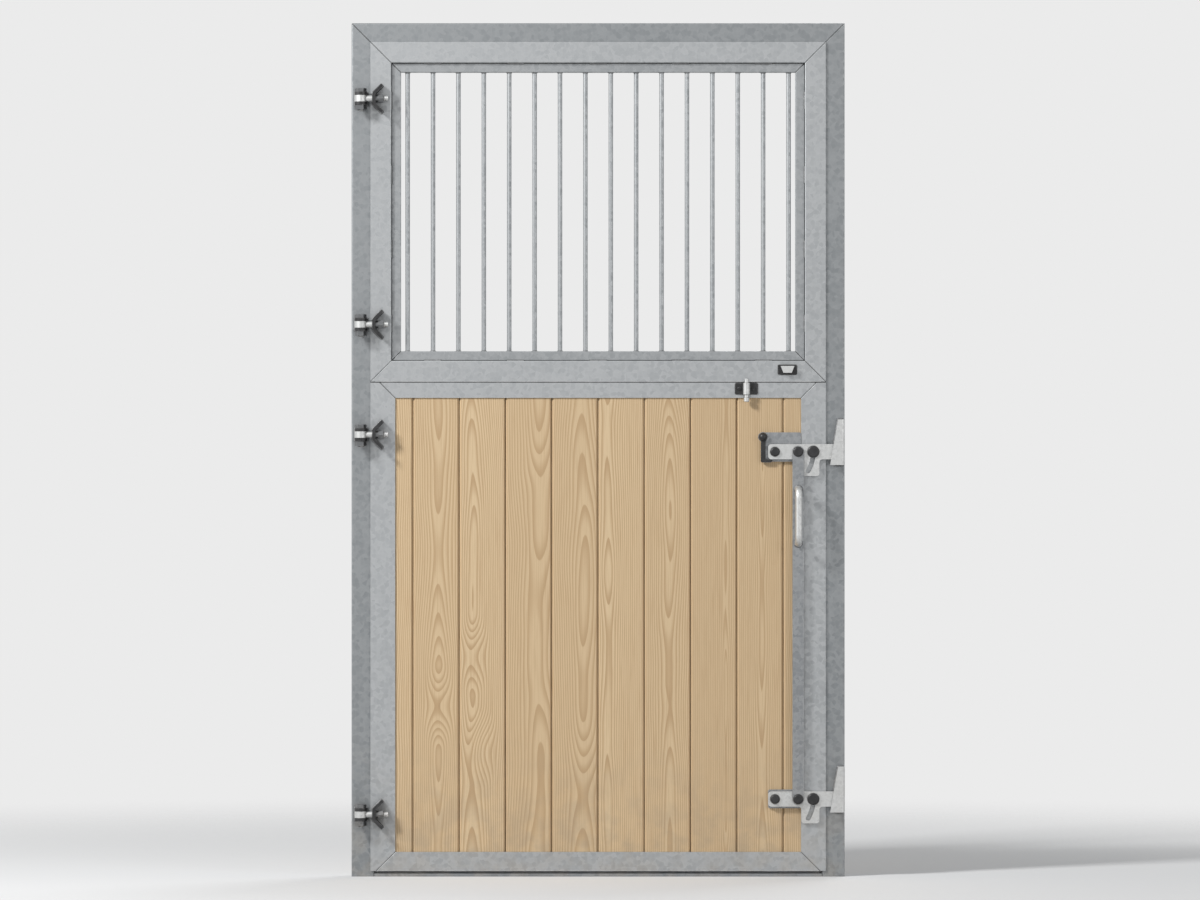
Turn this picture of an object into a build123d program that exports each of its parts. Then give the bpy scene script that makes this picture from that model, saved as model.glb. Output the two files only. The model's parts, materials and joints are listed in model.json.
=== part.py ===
from build123d import *
import os
from math import cos, radians, sin, tan

os.makedirs("parts", exist_ok=True)

# Two-leaf stable door in its steel frame. X runs to the right, the front faces -Y, Z is up.
# The origin is the middle of the threshold's underside. "Out" means distance in front of it.

# Frame
frame_width = 1300.0
frame_height = 2250.0
frame_face = 60.0
frame_depth = 60.0
frame_wall = 3.0
frame_round = 4.0
threshold_height = 12.0
threshold_bevel = 5.0
fixing_hole = 11.0
fixing_inset = 300.0
mitre_groove = 1.6

# Both leaves
leaf_depth = 40.0
leaf_wall = 3.0
lip_lap = 10.0
lip_stand = 2.0
leaf_gap = 5.0
leaf_foot = 15.0
split_height = 1305.0
split_gap = 3.0

# Upper leaf
upper_face = 40.0
upper_round = 3.0
grille_face = 25.0
grille_depth = 20.0
grille_wall = 2.0
grille_round = 2.5
grille_setback = 10.0
bar_diameter = 12.0
bar_count = 16
bar_seat = 10.0
bar_fit = 0.1
pull_width = 50.0
pull_height = 20.0
pull_border = 3.0
pull_plate = 2.0
pull_cup = 16.0
pull_wall = 1.6
pull_mouth = 36.0
pull_foot = 22.0
pull_round = 3.0
pull_side_inset = 101.0
pull_rise = 31.0

# Lower leaf
stile_face = 50.0
top_rail_face = 40.0
bottom_rail_face = 50.0
channel_depth = 20.0
full_boards = 8
board_play = 0.5
board_end_play = 2.0
joint_gap = 2.0
joint_bevel = 4.0
tongue_length = 9.0
tongue_thickness = 8.0
tongue_play = 0.4
seal_width = 14.0
seal_setback = 0.5
seal_base = 1.0
seal_rib = 4.0
seal_play = 0.4

# Hinges
pin_inset = 25.0
pin_stand = 30.0
pin_diameter = 16.0
pin_fit = 0.05
hinge_inset = 150.0
lower_hinge_drop = 140.0
eye_diameter = 32.0
eye_thickness = 17.0
eye_play = 0.3
cheek_width = 33.0
cheek_thickness = 8.0
clevis_web = 8.0
bolt_flats = 27.0
bolt_head = 10.0
bolt_nut = 13.0
bolt_end = 3.0
stem_diameter = 16.0
thread_diameter = 14.0
thread_fit = 0.2
wing_start = 6.0
wing_plate = 8.0
wing_root = 15.0
wing_tip = 39.0
wing_angle = 45.0
wing_bend = 4.0
wing_round = 3.0
wing_past = 14.0
collar_diameter = 20.0
collar_length = 8.0
stem_flats = 22.0
stem_nut = 13.0
stem_end = 12.0

# Two-point latch
upper_latch_drop = 185.0
lower_latch_rise = 190.0
pivot_inset = 69.0
guide_inset = 32.0
latch_height = 40.0
latch_thickness = 8.0
latch_heel = 18.0
latch_tip_inset = 14.0
latch_round = 8.0
latch_lift = 30.0
latch_play = 0.5
link_guide_gap = 40.0
guide_diameter = 12.0
guide_play = 0.3
guide_head = 31.0
guide_head_height = 6.0
guide_tail = 12.0
tab_back = 11.7
tab_front = 9.7
tab_foot = 7.2
pivot_diameter = 12.0
pivot_head = 25.0
pivot_head_height = 7.0
pivot_nut = 10.0
pivot_nut_flats = 19.0
backing_thickness = 5.0
backing_round = 5.0
upper_backing_width = 98.0
upper_backing_below = 26.0
upper_backing_above = 51.0
lower_backing_width = 87.0
lower_backing_side = 24.5

# Lift bar joining the two latch bars
lift_width = 30.0
lift_thickness = 6.0
lift_play = 1.0
lift_pin = 12.0
lift_pin_head = 26.0
lift_pin_head_height = 6.0
handle_diameter = 18.0
handle_length = 160.0
handle_drop = 90.0
handle_reach = 49.0
handle_bend = 22.0

# Keepers on the jamb
keeper_plate = 5.0
keeper_gap = 3.0
keeper_height = 120.0
keeper_below = 35.0
keeper_top_width = 17.6
keeper_bottom_width = 39.0
keeper_base = 28.0
keeper_bend = 3.0

# Connecting bolt between the leaves
bolt_side_inset = 209.0
bolt_plate_width = 60.0
bolt_plate_height = 30.0
bolt_plate_thickness = 3.0
bolt_plate_round = 4.0
bolt_plate_drop = 1.0
bolt_rod = 11.0
bolt_rod_fit = 0.1
bolt_sleeve = 18.0
bolt_rise = 8.0
bolt_tail = 8.0
bolt_knob = 15.0
bolt_knob_length = 12.0
bolt_bevel = 2.0
screw_spacing = 36.9
screw_head = 11.0
screw_head_height = 3.0
screw_shank = 6.0

# Safety catch above the upper latch
catch_offset = 31.3
catch_rise = 38.8
catch_ball = 22.0
catch_width = 12.0
catch_round = 4.0
toe_gap = 0.5
toe_height = 8.0
toe_under = 2.0
catch_thickness = 6.0
catch_pin = 8.0
catch_ear = 26.0
catch_ball_stand = 6.0

# One allowance by which every cut runs past what it cuts
overrun = 5.0

# Share of a pin head's height that its rounded rim takes
crown_share = 0.7

# Width of the part board at each side, as a share of a full board
part_board_share = 0.385

# Space outside the outer grille bars, as a share of the pitch between them
bar_end_share = 0.261

# Slope of the bevel that turns a hexagon's corners
hexagon_bevel_angle = 30

# Places worked out from the sizes above
frame_half = frame_width / 2
frame_out = frame_depth / 2
fixing_heights = (fixing_inset, frame_height - fixing_inset)
clear_half = frame_half - frame_face
lip_half = clear_half + lip_lap
core_half = clear_half - leaf_gap
lip_reach = lip_half - core_half
lip_out = frame_out + lip_stand
leaf_out = lip_out + leaf_wall
upper_top = frame_height - frame_face + lip_lap
upper_inner_half = core_half - upper_face
upper_inner_top = upper_top - lip_reach - upper_face
upper_inner_foot = split_height + lip_reach + upper_face
grille_top = upper_inner_top - grille_face
grille_foot = upper_inner_foot + grille_face
grille_out = leaf_out - grille_setback
frame_faces = (frame_out, -frame_out)
leaf_faces = (leaf_out, leaf_out - leaf_depth)
grille_faces = (grille_out, grille_out - grille_depth)
bar_out = grille_out - grille_depth / 2
bar_pitch = 2 * (upper_inner_half - grille_face) / (bar_count - 1 + 2 * bar_end_share)
lower_top = split_height - split_gap
lower_inner_half = core_half - stile_face
lower_inner_top = lower_top - top_rail_face
lower_inner_foot = leaf_foot + bottom_rail_face
board_out = leaf_out - leaf_wall - board_play
board_thickness = leaf_depth - 2 * leaf_wall - 2 * board_play
board_back = board_out - board_thickness
board_top = lower_inner_top + channel_depth - board_end_play
board_foot = lower_inner_foot - channel_depth + board_end_play
board_cover = 2 * lower_inner_half / (full_boards + 2 * part_board_share)
boards_half = full_boards * board_cover / 2
pin_x = -frame_half + pin_inset
pin_out = frame_out + pin_stand
wing_x = -lip_half + wing_start
clevis_half = eye_thickness / 2 + eye_play + cheek_thickness
upper_hinges = (split_height + hinge_inset, upper_top - hinge_inset)
lower_hinges = (leaf_foot + hinge_inset, split_height - lower_hinge_drop)
upper_latch_height = split_height - upper_latch_drop
lower_latch_height = leaf_foot + lower_latch_rise
latch_heights = (upper_latch_height, lower_latch_height)
latch_spacing = upper_latch_height - lower_latch_height
pivot_x = lower_inner_half - pivot_inset
guide_radius = pivot_inset + guide_inset
link_arm = guide_radius - link_guide_gap
latch_reach = frame_half - latch_tip_inset - pivot_x
slot_half = guide_diameter / 2 + guide_play
slot_foot_x = guide_radius * cos(radians(latch_lift))
slot_foot_drop = guide_radius * sin(radians(latch_lift))
tab_start = slot_foot_x - slot_half - tab_back
tab_end = guide_radius + slot_half + tab_front
tab_bottom = slot_foot_drop + slot_half + tab_foot
backing_out = board_out + backing_thickness
latch_back = backing_out + latch_play
latch_out = latch_back + latch_thickness
lift_x = pivot_x + link_arm
lift_back = latch_out + lift_play
lift_out = lift_back + lift_thickness
catch_x = pivot_x - catch_offset
catch_height = upper_latch_height + catch_rise
toe_top = upper_latch_height - latch_height / 2 - toe_gap
toe_x = pivot_x - latch_heel + latch_round + toe_under
bolt_x = lip_half - bolt_side_inset
bolt_out = leaf_out + bolt_plate_thickness + bolt_sleeve / 2
bolt_plate_top = lower_top - bolt_plate_drop
bolt_plate_foot = bolt_plate_top - bolt_plate_height


def save(piece, name):
    """Label one finished piece and write it as its own file."""
    piece.part.label = name
    export_step(piece.part, f"parts/{name}.step")


def mitre_end(x, z, x_way, z_way, keep, faces):
    """Cut a member at 45 degrees through a point and groove the cut's line on its front and back."""
    split(bisect_by=Plane(origin=(x, 0, z), z_dir=(x_way, 0, z_way)), keep=keep)
    for out in faces:
        line = Plane(origin=(x, -out, z), x_dir=(0, 1, 0), z_dir=(z_way, 0, -x_way))
        with BuildSketch(line) as vee:
            Polygon((mitre_groove, 0), (0, mitre_groove), (-mitre_groove, 0), (0, -mitre_groove))
        extrude(vee.sketch, amount=2 * frame_face, both=True, mode=Mode.SUBTRACT)


def headed_pin(x, z, tail, seat, diameter, head, height):
    """Add a round pin along Y with a crowned head in front of its seat."""
    with BuildSketch(Plane(origin=(x, 0, z), z_dir=(0, 0, 1))) as profile:
        Polygon(
            (0, -tail),
            (0, -seat - height),
            (head / 2, -seat - height),
            (head / 2, -seat),
            (diameter / 2, -seat),
            (diameter / 2, -tail),
            align=None,
        )
        fillet(profile.vertices().group_by(Axis.X)[-1].sort_by(Axis.Y)[0], height * crown_share)
    revolve(profile.sketch, axis=Axis((x, 0, z), (0, 1, 0)))


def hexagon(plane, x, y, flats, height, bore):
    """Add a hexagon with a bevelled end on a plane, with a hole through it if the bore isn't zero."""
    with BuildSketch(plane) as outline:
        with Locations((x, y)):
            RegularPolygon(flats / 2, 6, major_radius=False)
            if bore:
                Circle(bore / 2, mode=Mode.SUBTRACT)
    extrude(outline.sketch, amount=height)
    middle = plane.from_local_coords((x, y, 0))
    outside = flats / 2 + overrun
    with BuildSketch(Plane(origin=middle, x_dir=plane.x_dir, z_dir=-plane.y_dir)) as rim:
        Polygon(
            (flats / 2, height),
            (outside, height),
            (outside, height - overrun * tan(radians(hexagon_bevel_angle))),
            align=None,
        )
    revolve(rim.sketch, axis=Axis(middle, plane.z_dir), mode=Mode.SUBTRACT)


# Frame: two hollow jambs and a head, mitred at the top corners
for side, name in ((-1, "left"), (1, "right")):
    with BuildPart() as jamb:
        with BuildSketch():
            with Locations((side * (frame_half - frame_face / 2), 0)):
                RectangleRounded(frame_face, frame_depth, frame_round)
                Rectangle(frame_face - 2 * frame_wall, frame_depth - 2 * frame_wall, mode=Mode.SUBTRACT)
        extrude(amount=frame_height)
        mitre_end(side * frame_half, frame_height, -side, 1, Keep.BOTTOM, frame_faces)
        with BuildSketch(Plane.YZ.offset(side * (frame_half - frame_face / 2))):
            with Locations(*[(0, height) for height in fixing_heights]):
                Circle(fixing_hole / 2)
        extrude(amount=frame_face / 2 + overrun, both=True, mode=Mode.SUBTRACT)
    save(jamb, f"frame_{name}_jamb")

with BuildPart() as head:
    with BuildSketch(Plane.YZ.offset(-frame_half)):
        with Locations((0, frame_height - frame_face / 2)):
            RectangleRounded(frame_depth, frame_face, frame_round)
            Rectangle(frame_depth - 2 * frame_wall, frame_face - 2 * frame_wall, mode=Mode.SUBTRACT)
    extrude(amount=frame_width)
    for side in (-1, 1):
        mitre_end(side * frame_half, frame_height, -side, 1, Keep.TOP, frame_faces)
save(head, "frame_head")

with BuildPart() as threshold:
    with BuildSketch(Plane.YZ.offset(-clear_half)):
        with Locations((0, threshold_height / 2)):
            Rectangle(frame_depth, threshold_height)
    extrude(amount=2 * clear_half)
    chamfer(threshold.edges().filter_by(Axis.X).group_by(Axis.Z)[-1], threshold_bevel)
save(threshold, "threshold")

# Upper leaf: four mitred members of one lipped hollow profile
for side, name in ((-1, "hinge"), (1, "latch")):
    with BuildPart() as stile:
        with BuildSketch(Plane.XY.offset(split_height)):
            with Locations((side * (core_half - upper_face / 2), leaf_depth / 2 - leaf_out)):
                Rectangle(upper_face, leaf_depth)
                Rectangle(upper_face - 2 * leaf_wall, leaf_depth - 2 * leaf_wall, mode=Mode.SUBTRACT)
            with Locations((side * (core_half + lip_reach / 2), leaf_wall / 2 - leaf_out)):
                Rectangle(lip_reach, leaf_wall)
            fillet(vertices().group_by(Axis.X)[0 if side > 0 else -1], upper_round)
        extrude(amount=upper_top - split_height)
        mitre_end(side * lip_half, upper_top, -side, 1, Keep.BOTTOM, leaf_faces)
        mitre_end(side * lip_half, split_height, -side, -1, Keep.BOTTOM, leaf_faces)
    save(stile, f"upper_{name}_stile")

for way, edge, name in ((1, upper_top, "top"), (-1, split_height, "bottom")):
    with BuildPart() as rail:
        with BuildSketch(Plane.YZ.offset(-lip_half)):
            with Locations((leaf_depth / 2 - leaf_out, edge - way * (lip_reach + upper_face / 2))):
                Rectangle(leaf_depth, upper_face)
                Rectangle(leaf_depth - 2 * leaf_wall, upper_face - 2 * leaf_wall, mode=Mode.SUBTRACT)
            with Locations((leaf_wall / 2 - leaf_out, edge - way * lip_reach / 2)):
                Rectangle(leaf_wall, lip_reach)
            fillet(vertices().group_by(Axis.Y)[0 if way > 0 else -1], upper_round)
        extrude(amount=2 * lip_half)
        for side in (-1, 1):
            mitre_end(side * lip_half, edge, -side, way, Keep.TOP, leaf_faces)
    save(rail, f"upper_{name}_rail")

# Grille: a lighter mitred frame inside the upper leaf, with round bars seated in its rails
grille_middle = grille_depth / 2 - grille_out
for side, name in ((-1, "left"), (1, "right")):
    with BuildPart() as post:
        with BuildSketch(Plane.XY.offset(upper_inner_foot)):
            with Locations((side * (upper_inner_half - grille_face / 2), grille_middle)):
                RectangleRounded(grille_face, grille_depth, grille_round)
                Rectangle(grille_face - 2 * grille_wall, grille_depth - 2 * grille_wall, mode=Mode.SUBTRACT)
        extrude(amount=upper_inner_top - upper_inner_foot)
        mitre_end(side * upper_inner_half, upper_inner_top, -side, 1, Keep.BOTTOM, grille_faces)
        mitre_end(side * upper_inner_half, upper_inner_foot, -side, -1, Keep.BOTTOM, grille_faces)
    save(post, f"grille_{name}")

for way, edge, inner, name in (
    (1, upper_inner_top, grille_top, "top"),
    (-1, upper_inner_foot, grille_foot, "bottom"),
):
    with BuildPart() as band:
        with BuildSketch(Plane.YZ.offset(-upper_inner_half)):
            with Locations((grille_middle, edge - way * grille_face / 2)):
                RectangleRounded(grille_depth, grille_face, grille_round)
                Rectangle(grille_depth - 2 * grille_wall, grille_face - 2 * grille_wall, mode=Mode.SUBTRACT)
        extrude(amount=2 * upper_inner_half)
        for side in (-1, 1):
            mitre_end(side * upper_inner_half, edge, -side, way, Keep.TOP, grille_faces)
        with BuildSketch(Plane.XY.offset(inner)):
            with Locations((0, -bar_out)):
                with GridLocations(bar_pitch, 0, bar_count, 1):
                    Circle(bar_diameter / 2 + bar_fit)
        extrude(amount=grille_wall + bar_fit, both=True, mode=Mode.SUBTRACT)
    save(band, f"grille_{name}")

with BuildPart() as bars:
    with BuildSketch(Plane.XY.offset(grille_foot - bar_seat)):
        with Locations((0, -bar_out)):
            with GridLocations(bar_pitch, 0, bar_count, 1):
                Circle(bar_diameter / 2)
    extrude(amount=grille_top - grille_foot + 2 * bar_seat)
save(bars, "grille_bars")

# Finger pull on the bottom rail: a plate and a tapered cup on it that is open at the top
pull_x = lip_half - pull_side_inset
pull_z = split_height + pull_rise
with BuildPart() as pull_back:
    with BuildSketch(Plane.XZ.offset(leaf_out)):
        with Locations((pull_x, pull_z)):
            RectangleRounded(pull_width, pull_height + 2 * pull_border, pull_round)
    extrude(amount=pull_plate)
save(pull_back, "pull_plate")

with BuildPart() as pull:
    with BuildSketch(Plane.XZ.offset(leaf_out + pull_plate)):
        with Locations((pull_x, pull_z)):
            Polygon(
                (-pull_mouth / 2, pull_height / 2),
                (-pull_foot / 2, -pull_height / 2 + pull_plate),
                (pull_foot / 2, -pull_height / 2 + pull_plate),
                (pull_mouth / 2, pull_height / 2),
                align=None,
            )
    extrude(amount=pull_cup)
    with BuildSketch(Plane.XZ.offset(leaf_out + pull_plate)):
        with Locations((pull_x, pull_z)):
            Polygon(
                (-pull_mouth / 2 + pull_wall, pull_height / 2 + overrun),
                (-pull_mouth / 2 + pull_wall, pull_height / 2),
                (-pull_foot / 2 + pull_wall, -pull_height / 2 + pull_plate + pull_wall),
                (pull_foot / 2 - pull_wall, -pull_height / 2 + pull_plate + pull_wall),
                (pull_mouth / 2 - pull_wall, pull_height / 2),
                (pull_mouth / 2 - pull_wall, pull_height / 2 + overrun),
                align=None,
            )
    extrude(amount=pull_cup - pull_wall, mode=Mode.SUBTRACT)
save(pull, "finger_pull")

# Lower leaf: lipped stiles and plain rails, with a hollow chamber and an inward channel
board_slot = leaf_depth - 2 * leaf_wall
for side, name in ((-1, "hinge"), (1, "latch")):
    with BuildPart() as stile:
        with BuildSketch(Plane.XY.offset(leaf_foot)):
            with Locations((side * (core_half - stile_face / 2), leaf_depth / 2 - leaf_out)):
                Rectangle(stile_face, leaf_depth)
            with Locations((side * (core_half + lip_reach / 2), leaf_wall / 2 - leaf_out)):
                Rectangle(lip_reach, leaf_wall)
            chamber = stile_face - channel_depth - 2 * leaf_wall
            with Locations((side * (core_half - leaf_wall - chamber / 2), leaf_depth / 2 - leaf_out)):
                Rectangle(chamber, board_slot, mode=Mode.SUBTRACT)
            with Locations((side * (lower_inner_half + channel_depth / 2), leaf_depth / 2 - leaf_out)):
                Rectangle(channel_depth, board_slot, mode=Mode.SUBTRACT)
        extrude(amount=lower_top - leaf_foot)
        mitre_end(side * lower_inner_half, lower_inner_top, -side, 1, Keep.BOTTOM, leaf_faces)
        mitre_end(side * lower_inner_half, lower_inner_foot, -side, -1, Keep.BOTTOM, leaf_faces)
        if side > 0:
            with BuildSketch(Plane.XZ.offset(leaf_out)):
                with Locations(*[(pivot_x + guide_radius, height) for height in latch_heights]):
                    Circle(guide_diameter / 2 + pin_fit)
            extrude(amount=-leaf_wall, mode=Mode.SUBTRACT)
    save(stile, f"lower_{name}_stile")

for way, edge, inner, face, name in (
    (1, lower_top, lower_inner_top, top_rail_face, "top"),
    (-1, leaf_foot, lower_inner_foot, bottom_rail_face, "bottom"),
):
    with BuildPart() as rail:
        chamber = face - channel_depth - 2 * leaf_wall
        with BuildSketch(Plane.YZ.offset(-core_half)):
            with Locations((leaf_depth / 2 - leaf_out, edge - way * face / 2)):
                Rectangle(leaf_depth, face)
            with Locations((leaf_depth / 2 - leaf_out, edge - way * (leaf_wall + chamber / 2))):
                Rectangle(board_slot, chamber, mode=Mode.SUBTRACT)
            with Locations((leaf_depth / 2 - leaf_out, inner + way * channel_depth / 2)):
                Rectangle(board_slot, channel_depth, mode=Mode.SUBTRACT)
        extrude(amount=2 * core_half)
        for side in (-1, 1):
            mitre_end(side * lower_inner_half, inner, -side, way, Keep.TOP, leaf_faces)
    save(rail, f"lower_{name}_rail")

# Tongued and grooved boards, with a part board at each side
board_edges = [k * board_cover - boards_half for k in range(full_boards + 1)]
outer_edge = lower_inner_half + channel_depth - board_end_play
spans = [(-outer_edge, board_edges[0])]
spans += list(zip(board_edges, board_edges[1:]))
spans += [(board_edges[-1], outer_edge)]
for number, (start, end) in enumerate(spans, 1):
    has_groove = number > 1
    has_tongue = number < len(spans)
    left = start + joint_gap / 2 if has_groove else start
    right = end - joint_gap / 2 if has_tongue else end
    with BuildPart() as board:
        with BuildSketch(Plane.XY.offset(board_foot)):
            with Locations(((left + right) / 2, board_thickness / 2 - board_out)):
                Rectangle(right - left, board_thickness)
            chamfer(vertices(), joint_bevel)
            if has_tongue:
                with Locations((right, board_thickness / 2 - board_out)):
                    Rectangle(tongue_length, tongue_thickness, align=(Align.MIN, Align.CENTER))
            if has_groove:
                with Locations((left - joint_gap, board_thickness / 2 - board_out)):
                    Rectangle(
                        tongue_length + joint_gap + tongue_play,
                        tongue_thickness + 2 * tongue_play,
                        align=(Align.MIN, Align.CENTER),
                        mode=Mode.SUBTRACT,
                    )
        extrude(amount=board_top - board_foot)
        if start < pivot_x < end:
            with BuildSketch(Plane.XZ.offset(board_out)):
                with Locations(*[(pivot_x, height) for height in latch_heights]):
                    Circle(pivot_diameter / 2 + pin_fit)
            extrude(amount=-board_thickness, mode=Mode.SUBTRACT)
    save(board, f"board_{number}")

# Seal with two ribs along the lower leaf's top, under the upper leaf; the front rib runs on over the lips
with BuildPart() as seal:
    with BuildSketch(Plane.YZ.offset(-core_half)):
        with Locations((seal_setback + seal_width / 2 - leaf_out, lower_top)):
            Rectangle(seal_width, seal_base, align=(Align.CENTER, Align.MIN))
            with GridLocations(seal_width - seal_rib, 0, 2, 1):
                Rectangle(seal_rib, split_gap - seal_play, align=(Align.CENTER, Align.MIN))
    extrude(amount=2 * core_half)
    with BuildSketch(Plane.YZ.offset(-lip_half)):
        with Locations((seal_setback - leaf_out, lower_top)):
            Rectangle(leaf_wall - seal_setback, split_gap - seal_play, align=(Align.MIN, Align.MIN))
    extrude(amount=2 * lip_half)
save(seal, "meeting_seal")

# Hinges: clevis on the jamb, headed bolt and nut, eye bolt, winged bracket and collar nut
for leaf, heights in (("upper", upper_hinges), ("lower", lower_hinges)):
    with BuildPart() as clevises:
        for height in heights:
            with BuildSketch(Plane.XY.offset(height - clevis_half)):
                with Locations((pin_x, -frame_out)):
                    Rectangle(cheek_width, pin_stand, align=(Align.CENTER, Align.MAX))
                with Locations((pin_x, -pin_out)):
                    Circle(cheek_width / 2)
            extrude(amount=2 * clevis_half)
            slot = eye_thickness + 2 * eye_play
            with BuildSketch(Plane.XY.offset(height - slot / 2)):
                with Locations((pin_x, -frame_out - clevis_web)):
                    Rectangle(
                        cheek_width + 2 * overrun,
                        pin_stand + cheek_width,
                        align=(Align.CENTER, Align.MAX),
                    )
            extrude(amount=slot, mode=Mode.SUBTRACT)
            with BuildSketch(Plane.XY.offset(height - clevis_half)):
                with Locations((pin_x, -pin_out)):
                    Circle(pin_diameter / 2 + pin_fit)
            extrude(amount=2 * clevis_half, mode=Mode.SUBTRACT)
    save(clevises, f"{leaf}_hinge_clevises")

    with BuildPart() as eyes:
        for height in heights:
            with BuildSketch(Plane.XY.offset(height - eye_thickness / 2)):
                with Locations((pin_x, -pin_out)):
                    Circle(eye_diameter / 2)
            extrude(amount=eye_thickness)
            with BuildSketch(Plane.YZ.offset(pin_x)):
                with Locations((-pin_out, height)):
                    Circle(stem_diameter / 2)
            extrude(amount=wing_x - pin_x)
            with BuildSketch(Plane.YZ.offset(wing_x)):
                with Locations((-pin_out, height)):
                    Circle(thread_diameter / 2)
            extrude(amount=wing_plate + collar_length + stem_nut + stem_end)
            with BuildSketch(Plane.XY.offset(height - eye_thickness / 2)):
                with Locations((pin_x, -pin_out)):
                    Circle(pin_diameter / 2 + pin_fit)
            extrude(amount=eye_thickness, mode=Mode.SUBTRACT)
    save(eyes, f"{leaf}_eye_bolts")

    with BuildPart() as wings:
        for height in heights:
            spread = wing_tip - wing_root
            tip_x = wing_x + spread / tan(radians(wing_angle))
            with BuildSketch(Plane.XZ.offset(leaf_out)):
                with BuildLine():
                    FilletPolyline(
                        (tip_x, height + wing_tip),
                        (wing_x, height + wing_root),
                        (wing_x, height - wing_root),
                        (tip_x, height - wing_tip),
                        radius=wing_bend + wing_plate,
                    )
                    offset(amount=wing_plate, side=Side.LEFT)
                make_face()
                fillet(vertices().sort_by(Axis.X)[-4:], wing_round)
            extrude(amount=pin_out + wing_past - leaf_out)
            with BuildSketch(Plane.YZ.offset(wing_x)):
                with Locations((-pin_out, height)):
                    Circle(thread_diameter / 2 + thread_fit)
            extrude(amount=wing_plate, mode=Mode.SUBTRACT)
    save(wings, f"{leaf}_hinge_wings")

    with BuildPart() as nuts:
        for height in heights:
            collar_x = wing_x + wing_plate
            with BuildSketch(Plane.YZ.offset(collar_x)):
                with Locations((-pin_out, height)):
                    Circle(collar_diameter / 2)
            extrude(amount=collar_length)
            hexagon(Plane.YZ.offset(collar_x + collar_length), -pin_out, height, stem_flats, stem_nut, 0)
            with BuildSketch(Plane.YZ.offset(collar_x)):
                with Locations((-pin_out, height)):
                    Circle(thread_diameter / 2 + thread_fit)
            extrude(amount=collar_length + stem_nut, mode=Mode.SUBTRACT)
    save(nuts, f"{leaf}_stem_nuts")

with BuildPart() as hinge_bolts:
    for height in upper_hinges + lower_hinges:
        with BuildSketch(Plane.XY.offset(height - clevis_half - bolt_nut - bolt_end)):
            with Locations((pin_x, -pin_out)):
                Circle(pin_diameter / 2)
        extrude(amount=2 * clevis_half + bolt_nut + bolt_end)
        hexagon(Plane.XY.offset(height + clevis_half), pin_x, -pin_out, bolt_flats, bolt_head, 0)
save(hinge_bolts, "hinge_bolts")

with BuildPart() as hinge_nuts:
    for height in upper_hinges + lower_hinges:
        nut_foot = Plane.XY.offset(height - clevis_half - bolt_nut)
        hexagon(nut_foot, pin_x, -pin_out, bolt_flats, bolt_nut, pin_diameter + 2 * pin_fit)
save(hinge_nuts, "hinge_nuts")

# Two-point latch: bars with a guide slot that turn on pivots through the boards
for height, name in zip(latch_heights, ("upper", "lower")):
    with BuildPart() as latch:
        with BuildSketch(Plane.XZ.offset(latch_back)):
            with Locations((pivot_x, height)):
                Polygon(
                    (-latch_heel, latch_height / 2),
                    (-latch_heel, -latch_height / 2),
                    (tab_start, -latch_height / 2),
                    (tab_start, -tab_bottom),
                    (tab_end, -tab_bottom),
                    (tab_end, -latch_height / 2),
                    (latch_reach, -latch_height / 2),
                    (latch_reach, latch_height / 2),
                    align=None,
                )
            fillet(vertices(), latch_round)
            with Locations((pivot_x, height)):
                Circle(pivot_diameter / 2 + pin_fit, mode=Mode.SUBTRACT)
            with Locations((lift_x, height)):
                Circle(lift_pin / 2 + pin_fit, mode=Mode.SUBTRACT)
            slot_foot = (pivot_x + slot_foot_x, height - slot_foot_drop)
            with BuildLine():
                CenterArc((pivot_x, height), guide_radius + slot_half, -latch_lift, latch_lift)
                CenterArc((pivot_x, height), guide_radius - slot_half, -latch_lift, latch_lift)
                CenterArc((pivot_x + guide_radius, height), slot_half, 0, 180)
                CenterArc(slot_foot, slot_half, 180 - latch_lift, 180)
            make_face(mode=Mode.SUBTRACT)
        extrude(amount=latch_thickness)
    save(latch, f"{name}_latch_bar")

with BuildPart() as pivots:
    for height in latch_heights:
        headed_pin(
            pivot_x,
            height,
            board_back - pivot_nut - bolt_end,
            latch_out + latch_play,
            pivot_diameter,
            pivot_head,
            pivot_head_height,
        )
save(pivots, "latch_pivots")

with BuildPart() as pivot_nuts:
    for height in latch_heights:
        back = Plane(origin=(0, -board_back, 0), x_dir=(-1, 0, 0), z_dir=(0, 1, 0))
        hexagon(back, -pivot_x, height, pivot_nut_flats, pivot_nut, pivot_diameter + 2 * pin_fit)
save(pivot_nuts, "latch_pivot_nuts")

with BuildPart() as guides:
    for height in latch_heights:
        headed_pin(
            pivot_x + guide_radius,
            height,
            leaf_out - guide_tail,
            latch_out + latch_play,
            guide_diameter,
            guide_head,
            guide_head_height,
        )
save(guides, "latch_guide_pins")

# Backing plates that carry the pivots on the boards, butted against the stile
with BuildPart() as upper_backing:
    with BuildSketch(Plane.XZ.offset(board_out)):
        with Locations((lower_inner_half, upper_latch_height - upper_backing_below)):
            RectangleRounded(
                upper_backing_width,
                upper_backing_below + upper_backing_above,
                backing_round,
                align=(Align.MAX, Align.MIN),
            )
        with Locations((catch_x, catch_height)):
            Circle(catch_ear / 2)
        with Locations((pivot_x, upper_latch_height)):
            Circle(pivot_diameter / 2 + pin_fit, mode=Mode.SUBTRACT)
    extrude(amount=backing_thickness)
    with BuildSketch(Plane.XZ.offset(backing_out)):
        with Locations((catch_x, catch_height)):
            Circle(catch_pin / 2)
    extrude(amount=latch_play + catch_thickness)
save(upper_backing, "upper_latch_backing")

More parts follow.
